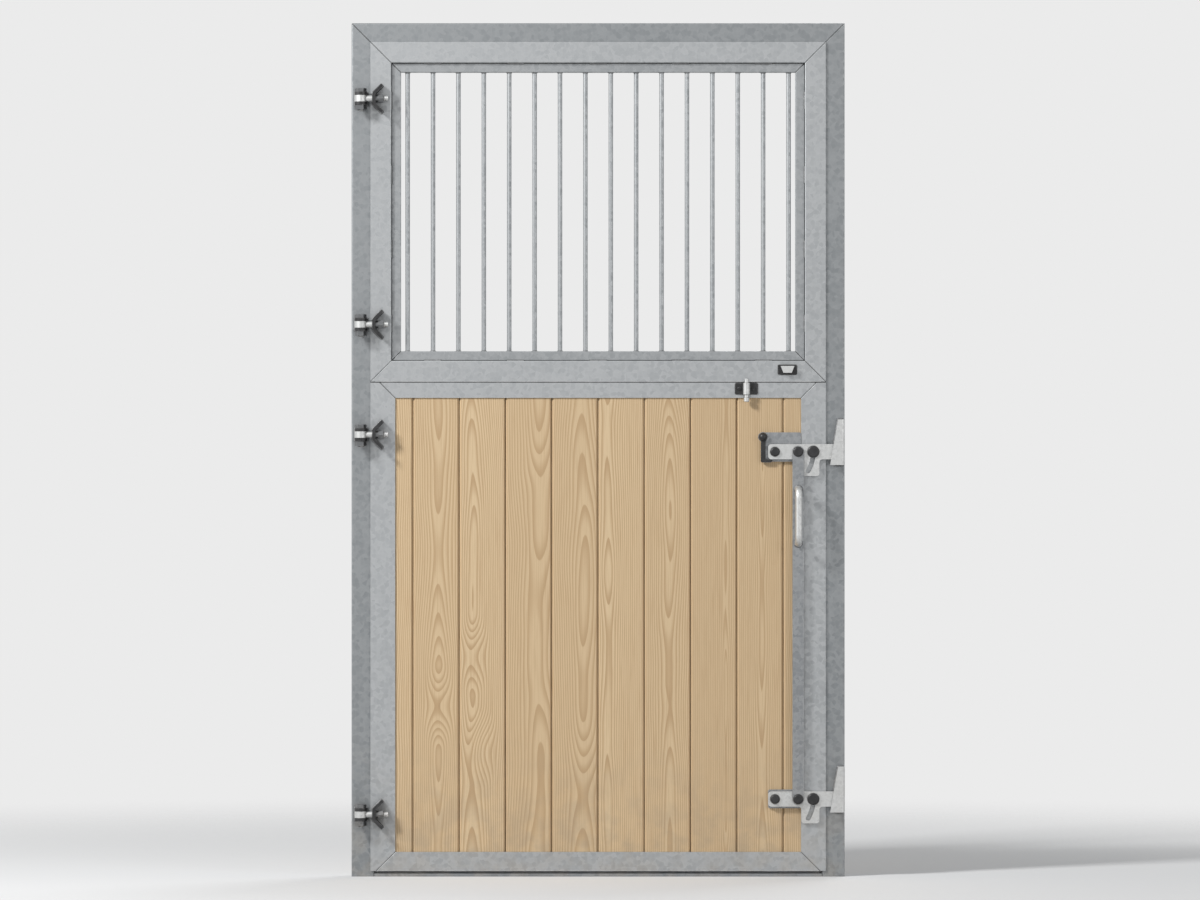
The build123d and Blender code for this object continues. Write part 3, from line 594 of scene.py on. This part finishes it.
class GeometryTree:
    """A Geometry Nodes tree that ends in Realize Instances and Set Material."""

    def __init__(self, name: str, inputs: dict[str, float]) -> None:
        """Make the tree's interface.

        Args:
            name: The tree's name.
            inputs: Input names with their usual values, whole numbers as int.
        """
        self.tree = bpy.data.node_groups.new(name, "GeometryNodeTree")
        new_socket = self.tree.interface.new_socket
        new_socket(name="Geometry", in_out="INPUT", socket_type="NodeSocketGeometry")
        self.keys = {}
        for title, value in inputs.items():
            kind = "NodeSocketInt" if isinstance(value, int) else "NodeSocketFloat"
            socket = new_socket(name=title, in_out="INPUT", socket_type=kind)
            socket.default_value = value
            self.keys[title] = socket.identifier
        finish = new_socket(name="Material", in_out="INPUT", socket_type="NodeSocketMaterial")
        self.keys["Material"] = finish.identifier
        new_socket(name="Geometry", in_out="OUTPUT", socket_type="NodeSocketGeometry")
        self.sheet = NodeSheet(self.tree)
        self.given = self.sheet.add("NodeGroupInput").outputs

    def circle(self, radius: Socket, steps: int) -> Socket:
        """Add a round curve and return it."""
        inputs = {"Resolution": steps, "Radius": radius}
        return self.sheet.add("GeometryNodeCurvePrimitiveCircle", inputs).outputs[0]

    def close(self, geometry: Socket) -> None:
        """End the tree with real, smooth, dressed geometry.

        Args:
            geometry: What the tree has made.
        """
        real = self.sheet.add("GeometryNodeRealizeInstances", {0: geometry}).outputs[0]
        smooth = self.sheet.add("GeometryNodeSetShadeSmooth", {"Geometry": real}).outputs[0]
        finish = {"Geometry": smooth, "Material": self.given["Material"]}
        dressed = self.sheet.add("GeometryNodeSetMaterial", finish).outputs[0]
        self.sheet.add("NodeGroupOutput", {0: dressed})

    def grow(self, name: str, seed_mesh: bpy.types.Mesh, values: dict[str, object]) -> bpy.types.Mesh:
        """Run the tree on a mesh and return the plain result.

        Args:
            name: Name of the result.
            seed_mesh: The mesh that the tree starts from.
            values: Input values by name.

        Returns:
            The resulting mesh.
        """
        carrier = bpy.data.objects.new(f"{name}_carrier", seed_mesh)
        bpy.context.scene.collection.objects.link(carrier)
        modifier = carrier.modifiers.new("nodes", "NODES")
        modifier.node_group = self.tree
        for title, value in values.items():
            modifier[self.keys[title]] = value
        graph = bpy.context.evaluated_depsgraph_get()
        mesh = bpy.data.meshes.new_from_object(carrier.evaluated_get(graph))
        mesh.name = name
        bpy.data.objects.remove(carrier)
        return mesh


def add_piece(name: str, mesh: bpy.types.Mesh, body: Body) -> bpy.types.Object:
    """Put a finished mesh on a moving body.

    Args:
        name: The piece's name.
        mesh: Its mesh, in the door's frame.
        body: The body that carries it.

    Returns:
        The new piece.
    """
    piece = bpy.data.objects.new(name, mesh)
    bpy.context.scene.collection.objects.link(piece)
    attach(piece, body.value)
    LOG.info("%s on %s: %d faces", name, body.value, len(mesh.polygons))
    return piece


@dataclass(frozen=True)
class HingePlaces:
    """Where the hinges stand on the jamb."""

    pin_x: float = -0.625
    clevis_half: float = 0.0168

    def heights(self, leaf: str) -> tuple[float, float]:
        """Return the heights of a leaf's two hinges."""
        low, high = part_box(f"{leaf}_hinge_clevises")
        return low.z + self.clevis_half, high.z - self.clevis_half


@dataclass(frozen=True)
class WeldRun:
    """One weld seam as a line of points."""

    body: Body
    points: tuple[Point, ...]
    closed: bool = False


@dataclass
class WeldSeams:
    """Rippled weld beads where steel pieces meet."""

    hinges: HingePlaces = HingePlaces()
    bead: float = 0.0029
    ripple: float = 0.0026
    ripple_depth: float = 0.16
    ripple_steps: int = 4
    uneven: Range = (0.96, 1.03)
    sides: int = 10
    face_out: float = 0.030
    leaf_out: float = 0.035
    grille_out: float = 0.025
    cheek: float = 0.033
    wing_x: float = -0.594
    wing_spread: float = 0.024
    wing_root: float = 0.015
    wing_tip: float = 0.039
    keeper_foot: float = 0.028
    keeper_top: float = 0.0176
    stitch: float = 0.045
    stitches_wide: int = 5
    stitches_tall: int = 4
    threshold_inset: float = 0.006
    handle_leg: float = 0.009
    ring_steps: int = 16

    def inputs(self) -> dict[str, float]:
        """Return the bead tree's inputs."""
        return {"Bead": self.bead, "Ripple": self.ripple, "Depth": self.ripple_depth, "Seed": SEED}

    def tree(self) -> GeometryTree:
        """Build the bead tree.

        Returns:
            A tree that sweeps one rippled bead along each line.
        """
        tree = GeometryTree("weld_seam", self.inputs())
        sheet = tree.sheet
        line = sheet.add("GeometryNodeMeshToCurve", {"Mesh": tree.given["Geometry"]}).outputs[0]
        step = sheet.math("DIVIDE", tree.given["Ripple"], float(self.ripple_steps))
        spaced = {"Curve": line, "Length": step}
        steps = sheet.add("GeometryNodeResampleCurve", spaced, mode="LENGTH").outputs[0]
        number = sheet.add("GeometryNodeInputIndex").outputs[0]
        angle = sheet.math("MULTIPLY", number, math.pi / self.ripple_steps)
        swell = sheet.math("ABSOLUTE", sheet.math("SINE", angle))
        valley = sheet.math("SUBTRACT", 1.0, tree.given["Depth"])
        rise = sheet.math("MULTIPLY_ADD", swell, tree.given["Depth"], valley)
        lowest, highest = self.uneven
        limits = {RANDOM_LOW: lowest, RANDOM_HIGH: highest, "Seed": tree.given["Seed"]}
        chance = sheet.add("FunctionNodeRandomValue", limits, data_type="FLOAT").outputs[RANDOM_RESULT]
        sweep = {
            "Curve": steps,
            "Profile Curve": tree.circle(tree.given["Bead"], self.sides),
            "Scale": sheet.math("MULTIPLY", rise, chance),
            "Fill Caps": True,
        }
        tree.close(sheet.add("GeometryNodeCurveToMesh", sweep).outputs[0])
        return tree

    def hinge_runs(self) -> list[WeldRun]:
        """Find the hinges' seams.

        Returns:
            Seams round the clevises and along the wings.
        """
        runs = []
        left, right = self.hinges.pin_x - self.cheek / 2, self.hinges.pin_x + self.cheek / 2
        tip_x = self.wing_x + self.wing_spread
        for leaf, body in (("upper", Body.UPPER_LEAF), ("lower", Body.LOWER_LEAF)):
            for height in self.hinges.heights(leaf):
                low, high = height - self.hinges.clevis_half, height + self.hinges.clevis_half
                corners = ((left, low), (right, low), (right, high), (left, high))
                runs.append(WeldRun(Body.FRAME, tuple((x, -self.face_out, z) for x, z in corners), True))
                bends = (
                    (tip_x, height + self.wing_tip),
                    (self.wing_x, height + self.wing_root),
                    (self.wing_x, height - self.wing_root),
                    (tip_x, height - self.wing_tip),
                )
                runs.append(WeldRun(body, tuple((x, -self.leaf_out, z) for x, z in bends)))
        return runs

    def keeper_runs(self) -> list[WeldRun]:
        """Find the keepers' seams.

        Returns:
            Seams round three sides of each keeper's slanted foot.
        """
        runs = []
        for level in ("upper", "lower"):
            low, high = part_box(f"{level}_keeper")
            foot, top = high.x - self.keeper_foot, high.x - self.keeper_top
            slant = (top - foot) / (top - low.x)
            bend = high.z - (high.z - low.z) * slant
            edge = high.x - self.bead
            line = ((edge, low.z), (foot, low.z), (foot, bend), (top, high.z), (edge, high.z))
            runs.append(WeldRun(Body.FRAME, tuple((x, -self.face_out, z) for x, z in line)))
        return runs

    def grille_runs(self) -> list[WeldRun]:
        """Find the grille's seams.

        Returns:
            Short seams that hold the grille in the upper leaf.
        """
        low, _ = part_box("grille_left")
        _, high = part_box("grille_right")
        runs = []
        half = self.stitch / 2
        for number in range(self.stitches_wide):
            middle = low.x + (number + 0.5) * (high.x - low.x) / self.stitches_wide
            for z in (low.z, high.z):
                ends = ((middle - half, -self.grille_out, z), (middle + half, -self.grille_out, z))
                runs.append(WeldRun(Body.UPPER_LEAF, ends))
        for number in range(self.stitches_tall):
            middle = low.z + (number + 0.5) * (high.z - low.z) / self.stitches_tall
            for x in (low.x, high.x):
                ends = ((x, -self.grille_out, middle - half), (x, -self.grille_out, middle + half))
                runs.append(WeldRun(Body.UPPER_LEAF, ends))
        return runs

    def threshold_runs(self) -> list[WeldRun]:
        """Find the threshold's seams.

        Returns:
            Seams between the threshold and the jambs.
        """
        low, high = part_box("threshold")
        front, back = low.y + self.threshold_inset, high.y - self.threshold_inset
        return [WeldRun(Body.FRAME, ((x, front, high.z), (x, back, high.z))) for x in (low.x, high.x)]

    def handle_runs(self) -> list[WeldRun]:
        """Find the bow handle's seams.

        Returns:
            Seams round the handle's legs.
        """
        low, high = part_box("lift_handle")
        middle = (low.x + high.x) / 2
        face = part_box("lift_bar")[0].y
        runs = []
        for z in (low.z + self.handle_leg, high.z - self.handle_leg):
            ring = []
            for step in range(self.ring_steps):
                angle = 2 * math.pi * step / self.ring_steps
                across, up = self.handle_leg * math.cos(angle), self.handle_leg * math.sin(angle)
                ring.append((middle + across, face, z + up))
            runs.append(WeldRun(Body.LIFT_BAR, tuple(ring), True))
        return runs

    def build(self, material: bpy.types.Material) -> None:
        """Lay every seam, one piece for each body.

        Args:
            material: The weld's finish.
        """
        tree = self.tree()
        runs = self.hinge_runs() + self.keeper_runs() + self.grille_runs()
        runs += self.threshold_runs() + self.handle_runs()
        for body in Body:
            points, edges = [], []
            for run in (run for run in runs if run.body is body):
                first = len(points)
                points.extend(run.points)
                edges.extend((first + k, first + k + 1) for k in range(len(run.points) - 1))
                if run.closed:
                    edges.append((len(points) - 1, first))
            line = bpy.data.meshes.new(f"weld_line_{body.value}")
            line.from_pydata(points, edges, [])
            name = f"weld_seams_{body.value}"
            mesh = tree.grow(name, line, self.inputs() | {"Material": material})
            add_piece(name, mesh, body)


@dataclass
class BarCollars:
    """Small weld rings where the grille bars enter their rails."""

    bars: int = 16
    ring: float = 0.0064
    ring_steps: int = 20
    thickness: float = 0.0016
    sides: int = 8

    def tree(self) -> GeometryTree:
        """Build the ring tree.

        Returns:
            A tree that puts a ring on every point.
        """
        tree = GeometryTree("bar_collar", {"Ring": self.ring, "Thickness": self.thickness})
        sheet = tree.sheet
        circle = tree.circle(tree.given["Ring"], self.ring_steps)
        section = tree.circle(tree.given["Thickness"], self.sides)
        ring = sheet.add("GeometryNodeCurveToMesh", {"Curve": circle, "Profile Curve": section}).outputs[0]
        spread = {"Points": tree.given["Geometry"], "Instance": ring}
        tree.close(sheet.add("GeometryNodeInstanceOnPoints", spread).outputs[0])
        return tree

    def build(self, material: bpy.types.Material) -> None:
        """Put a ring at both ends of every bar.

        Args:
            material: The weld's finish.
        """
        low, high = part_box("grille_bars")
        inner_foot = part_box("grille_bottom")[1].z
        inner_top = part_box("grille_top")[0].z
        radius = (high.y - low.y) / 2
        first, last = low.x + radius, high.x - radius
        points = []
        for number in range(self.bars):
            x = first + number * (last - first) / (self.bars - 1)
            points.extend((x, (low.y + high.y) / 2, z) for z in (inner_foot, inner_top))
        dots = bpy.data.meshes.new("bar_ends")
        dots.from_pydata(points, [], [])
        values = {"Ring": self.ring, "Thickness": self.thickness, "Material": material}
        add_piece("bar_collars", self.tree().grow("bar_collars", dots, values), Body.UPPER_LEAF)


@dataclass
class ThreadedEnds:
    """Screw threads on the ends of the hinge bolts and eye bolts."""

    hinges: HingePlaces = HingePlaces()
    pitch: float = 0.002
    depth: float = 0.0009
    turn_steps: int = 24
    ridge_sides: int = 4
    eye_radius: float = 0.007
    eye_length: float = 0.0115
    bolt_radius: float = 0.008
    bolt_length: float = 0.0026

    def tree(self) -> GeometryTree:
        """Build the thread tree.

        Returns:
            A tree that winds a ridge up the Z axis.
        """
        inputs = {"Radius": self.eye_radius, "Length": self.eye_length}
        tree = GeometryTree("thread", inputs | {"Pitch": self.pitch, "Depth": self.depth})
        sheet = tree.sheet
        winding = {
            "Resolution": self.turn_steps,
            "Rotations": sheet.math("DIVIDE", tree.given["Length"], tree.given["Pitch"]),
            "Start Radius": tree.given["Radius"],
            "End Radius": tree.given["Radius"],
            "Height": tree.given["Length"],
        }
        helix = sheet.add("GeometryNodeCurveSpiral", winding).outputs[0]
        ridge = tree.circle(tree.given["Depth"], self.ridge_sides)
        sweep = {"Curve": helix, "Profile Curve": ridge, "Fill Caps": True}
        tree.close(sheet.add("GeometryNodeCurveToMesh", sweep).outputs[0])
        return tree

    def places(self) -> dict[Body, list[tuple[Matrix, float, float]]]:
        """Find the threads.

        Returns:
            For each body, where its threads start, with their radius and length.
        """
        sideways = Matrix.Rotation(math.radians(90), 4, "Y")
        places = {body: [] for body in (Body.FRAME, Body.UPPER_LEAF, Body.LOWER_LEAF)}
        low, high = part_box("hinge_bolts")
        middle_y = (low.y + high.y) / 2
        drop = low.z - self.hinges.heights("lower")[0]
        for leaf, body in (("upper", Body.UPPER_LEAF), ("lower", Body.LOWER_LEAF)):
            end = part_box(f"{leaf}_eye_bolts")[1].x - self.eye_length
            for height in self.hinges.heights(leaf):
                eye = Matrix.Translation((end, middle_y, height)) @ sideways
                bolt = Matrix.Translation((self.hinges.pin_x, middle_y, height + drop))
                places[body].append((eye, self.eye_radius, self.eye_length))
                places[Body.FRAME].append((bolt, self.bolt_radius, self.bolt_length))
        return places

    def build(self, material: bpy.types.Material) -> None:
        """Wind the threads and put them on their bodies.

        Args:
            material: The fasteners' finish.
        """
        tree = self.tree()
        empty = bpy.data.meshes.new("thread_seed")
        for body, spots in self.places().items():
            joined = bmesh.new()
            for place, radius, length in spots:
                values = {"Radius": radius - self.depth / 2, "Length": length, "Pitch": self.pitch}
                values |= {"Depth": self.depth, "Material": material}
                mesh = tree.grow("thread", empty.copy(), values)
                mesh.transform(place)
                joined.from_mesh(mesh)
                bpy.data.meshes.remove(mesh)
            name = f"threads_{body.value}"
            mesh = bpy.data.meshes.new(name)
            joined.to_mesh(mesh)
            joined.free()
            mesh.materials.append(material)
            add_piece(name, mesh, body)


@dataclass
class SocketScrews:
    """Round-headed screws with a hexagon socket, in place of the plain ones."""

    segments: int = 24
    socket: float = 0.0022
    socket_depth: float = 0.0018
    crown: tuple[Range, ...] = ((1.0, 0.0), (1.0, 0.35), (0.93, 0.68), (0.78, 0.9), (0.58, 1.0))

    def head(self, bm: bmesh.types.BMesh, seat: Vector, radius: float, height: float) -> None:
        """Add one screw head that faces the front.

        Args:
            bm: Mesh under construction.
            seat: Centre of the head's seat.
            radius: The head's radius.
            height: The head's height.
        """
        angles = [2 * math.pi * k / self.segments for k in range(self.segments)]
        sixth = math.pi / 3
        hexagon = [self.socket * math.cos(sixth / 2) / math.cos(a % sixth - sixth / 2) for a in angles]
        outlines = [([radius * share] * self.segments, rise * height) for share, rise in self.crown]
        outlines += [(hexagon, height), (hexagon, height - self.socket_depth)]
        rings = []
        for reaches, rise in outlines:
            spokes = (Vector((math.cos(a) * r, -rise, math.sin(a) * r)) for a, r in zip(angles, reaches))
            rings.append([bm.verts.new(seat + spoke) for spoke in spokes])
        for outer, inner in zip(rings, rings[1:]):
            for k in range(self.segments):
                n = (k + 1) % self.segments
                bm.faces.new((outer[k], outer[n], inner[n], inner[k]))
        bm.faces.new(rings[-1])
        bm.faces.new(reversed(rings[0]))

    def build(self, material: bpy.types.Material) -> None:
        """Make both screws of the connecting bolt's plate.

        Args:
            material: The screws' finish.
        """
        low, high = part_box("bolt_plate_screws")
        radius = (high.z - low.z) / 2
        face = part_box("bolt_plate")[0].y
        bm = bmesh.new()
        for x in (low.x + radius, high.x - radius):
            self.head(bm, Vector((x, face, (low.z + high.z) / 2)), radius, face - low.y)
        bmesh.ops.recalc_face_normals(bm, faces=bm.faces)
        mesh = bpy.data.meshes.new("socket_screws")
        bm.to_mesh(mesh)
        bm.free()
        mesh.materials.append(material)
        piece = add_piece("socket_screws", mesh, Body.LOWER_LEAF)
        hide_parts("bolt_plate_screws")


@dataclass
class DoorFinishes:
    """Finds each solid's finish and puts it on."""

    looks: SharedLooks

    def __post_init__(self) -> None:
        """Build the finishes."""
        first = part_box("board_2")[0].x
        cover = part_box("board_3")[0].x - first
        frame_zinc = ZincFinish(
            "zinc_frame", dark=(0.23, 0.243, 0.252, 1), light=(0.31, 0.323, 0.332, 1),
            rubbed=(0.58, 0.59, 0.60, 1), crystals=90.0, roughness=0.52,
        ).material(self.looks)
        self.leaf_zinc = ZincFinish(
            "zinc_leaf", dark=(0.35, 0.363, 0.372, 1), light=(0.46, 0.473, 0.482, 1),
            rubbed=(0.70, 0.71, 0.72, 1), crystals=90.0, roughness=0.48,
        ).material(self.looks)
        grille_zinc = ZincFinish(
            "zinc_grille", dark=(0.29, 0.303, 0.312, 1), light=(0.39, 0.403, 0.412, 1),
            rubbed=(0.66, 0.67, 0.68, 1), crystals=100.0, roughness=0.46,
        ).material(self.looks)
        self.plate = ZincFinish(
            "zinc_plate", dark=(0.51, 0.515, 0.51, 1), light=(0.62, 0.625, 0.62, 1),
            rubbed=(0.74, 0.74, 0.74, 1), crystals=140.0, roughness=0.50,
        ).material(self.looks)
        backing = ZincFinish(
            "zinc_backing", dark=(0.24, 0.25, 0.26, 1), light=(0.34, 0.35, 0.36, 1),
            rubbed=(0.60, 0.60, 0.60, 1), crystals=110.0, roughness=0.48,
        ).material(self.looks)
        fastener = ZincFinish(
            "zinc_fastener", dark=(0.13, 0.135, 0.14, 1), light=(0.20, 0.205, 0.21, 1),
            rubbed=(0.45, 0.45, 0.45, 1), crystals=160.0, roughness=0.42,
        ).material(self.looks)
        self.weld = ZincFinish(
            "zinc_weld", dark=(0.22, 0.225, 0.23, 1), light=(0.33, 0.335, 0.34, 1),
            rubbed=(0.4, 0.4, 0.4, 1), crystals=200.0, roughness=0.62, wear_reach=0.0,
        ).material(self.looks)
        self.rubber = CoatFinish(
            "black_rubber", coat=(0.010, 0.010, 0.010, 1), faded=(0.022, 0.022, 0.022, 1),
            bare=(0.03, 0.03, 0.03, 1), roughness=0.7,
        ).material(self.looks)
        self.timber = TimberFinish(
            "oiled_boards", early=(0.66, 0.50, 0.31, 1), late=(0.42, 0.27, 0.14, 1),
            knot=(0.13, 0.07, 0.035, 1), deep=(0.50, 0.35, 0.20, 1), first_edge=first, cover=cover,
        ).material(self.looks)
        self.coat = CoatFinish(
            "black_coat", coat=(0.012, 0.012, 0.013, 1), faded=(0.03, 0.03, 0.031, 1),
            bare=(0.42, 0.42, 0.42, 1),
        ).material(self.looks)
        plates = ("latch_bar", "keeper", "eye_bolts", "leaf_bolt", "bolt_sleeve", "finger_pull")
        self.zinc_by_word = (
            (("hinge_bolts", "nuts"), fastener),
            ((*plates, "lift_handle"), self.plate),
            (("backing", "lift_bar"), backing),
            (("frame_", "threshold"), frame_zinc),
            (("grille_",), grille_zinc),
        )

    def choose(self, node: str, slot: Slot) -> bpy.types.Material:
        """Return the finish of one solid.

        Args:
            node: The solid's name.
            slot: Its material slot in the record.

        Returns:
            The material.
        """
        whole_slots = {Slot.TIMBER: self.timber, Slot.BLACK: self.coat, Slot.RUBBER: self.rubber}
        if slot in whole_slots:
            return whole_slots[slot]
        for words, finish in self.zinc_by_word:
            if any(word in node for word in words):
                return finish
        return self.leaf_zinc

    def dress(self, nodes: dict[str, bpy.types.Object], subparts: list[dict]) -> None:
        """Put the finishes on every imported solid.

        Args:
            nodes: The solids by name.
            subparts: The record's list of solids and slots.
        """
        for part in subparts:
            solid = nodes[part["node"]]
            solid.data.materials.clear()
            solid.data.materials.append(self.choose(part["node"], Slot(part["material_slot"])))
        LOG.info("dressed %d solids", len(subparts))


@dataclass(frozen=True)
class Lamp:
    """One soft square lamp."""

    name: str
    place: Point
    size: float
    power: float

    def hang(self, target: Point) -> None:
        """Add the lamp and turn it to its target.

        Args:
            target: What it points at.
        """
        data = bpy.data.lights.new(self.name, "AREA")
        data.shape = "SQUARE"
        data.size = self.size
        data.energy = self.power
        lamp = bpy.data.objects.new(self.name, data)
        lamp.location = self.place
        lamp.rotation_euler = (Vector(target) - Vector(self.place)).to_track_quat("-Z", "Y").to_euler()
        bpy.context.scene.collection.objects.link(lamp)


@dataclass
class Studio:
    """Pale floor, soft light and a straight front view."""

    middle_x: float = 0.005
    middle_z: float = 1.1245
    field_width: float = 3.163
    front_out: float = 0.035
    lens: float = 200.0
    sensor: float = 36.0
    clip_distances: float = 5.0
    backdrop: Colour = (0.831, 0.831, 0.831, 1.0)
    ambient: Colour = (0.94, 0.97, 1.0, 1.0)
    ambient_strength: float = 0.30
    floor_colour: Colour = (0.70, 0.70, 0.70, 1.0)
    floor_radius: float = 5.0
    floor_segments: int = 96
    fade_span: Range = (1.2, 4.2)
    lamps: tuple[Lamp, ...] = (
        Lamp("key", place=(-4.2, -3.4, 4.8), size=1.1, power=430.0),
        Lamp("fill", place=(4.4, -4.4, 2.4), size=2.6, power=45.0),
        Lamp("rear", place=(2.2, 3.6, 5.6), size=2.6, power=118.0),
    )

    def camera(self) -> None:
        """Set the camera square to the door's front."""
        data = bpy.data.cameras.new("front_camera")
        data.lens = self.lens
        data.sensor_width = self.sensor
        distance = self.field_width * self.lens / self.sensor
        data.clip_end = self.clip_distances * distance
        camera = bpy.data.objects.new("front_camera", data)
        camera.location = (self.middle_x, -self.front_out - distance, self.middle_z)
        camera.rotation_euler = (math.radians(90), 0, 0)
        bpy.context.scene.collection.objects.link(camera)
        bpy.context.scene.camera = camera

    def world(self) -> None:
        """Give a pale background to what is seen, and soft light to the rest."""
        world = bpy.data.worlds.new("studio")
        world.use_nodes = True
        sheet = NodeSheet(world.node_tree)
        path = sheet.add("ShaderNodeLightPath").outputs
        seen = sheet.math("MAXIMUM", path["Is Camera Ray"], path["Is Glossy Ray"])
        seen = sheet.math("MAXIMUM", seen, path["Is Transmission Ray"])
        soft = sheet.add("ShaderNodeBackground", {"Color": self.ambient, "Strength": self.ambient_strength})
        pale = sheet.add("ShaderNodeBackground", {"Color": self.backdrop, "Strength": 1.0})
        both = sheet.add("ShaderNodeMixShader", {0: seen, 1: soft.outputs[0], 2: pale.outputs[0]})
        sheet.add("ShaderNodeOutputWorld", {"Surface": both.outputs[0]})
        bpy.context.scene.world = world

    def floor(self) -> None:
        """Lay a round floor that fades into the background."""
        bm = bmesh.new()
        bmesh.ops.create_circle(bm, cap_ends=True, segments=self.floor_segments, radius=self.floor_radius)
        mesh = bpy.data.meshes.new("floor")
        bm.to_mesh(mesh)
        bm.free()
        material, sheet = new_material("pale_floor")
        away = sheet.add("ShaderNodeVectorMath", {0: sheet.place()}, operation="LENGTH").outputs["Value"]
        gone = sheet.ramp(away, self.fade_span)
        matt = sheet.add("ShaderNodeBsdfDiffuse", {"Color": self.floor_colour})
        clear = sheet.add("ShaderNodeBsdfTransparent")
        both = sheet.add("ShaderNodeMixShader", {0: gone, 1: matt.outputs[0], 2: clear.outputs[0]})
        close_material(sheet, both.outputs[0])
        mesh.materials.append(material)
        floor = bpy.data.objects.new("floor", mesh)
        bpy.context.scene.collection.objects.link(floor)

    def build(self) -> None:
        """Set up the whole studio."""
        bpy.context.scene.view_settings.view_transform = "Standard"
        self.camera()
        self.world()
        self.floor()
        for lamp in self.lamps:
            lamp.hang((0.0, 0.0, self.middle_z))


def main() -> None:
    """Load the door, dress it, add its small pieces and set the studio."""
    logging.basicConfig(level=logging.INFO, format="%(name)s: %(message)s")
    for leftover in list(bpy.data.objects):
        bpy.data.objects.remove(leftover)
    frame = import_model()
    Studio().build()
    finishes = DoorFinishes(SharedLooks.build())
    finishes.dress(frame["nodes"], frame["record"]["subparts"])
    WeldSeams().build(finishes.weld)
    BarCollars().build(finishes.weld)
    ThreadedEnds().build(finishes.plate)
    SocketScrews().build(finishes.coat)


if __name__ == "__main__":
    main()
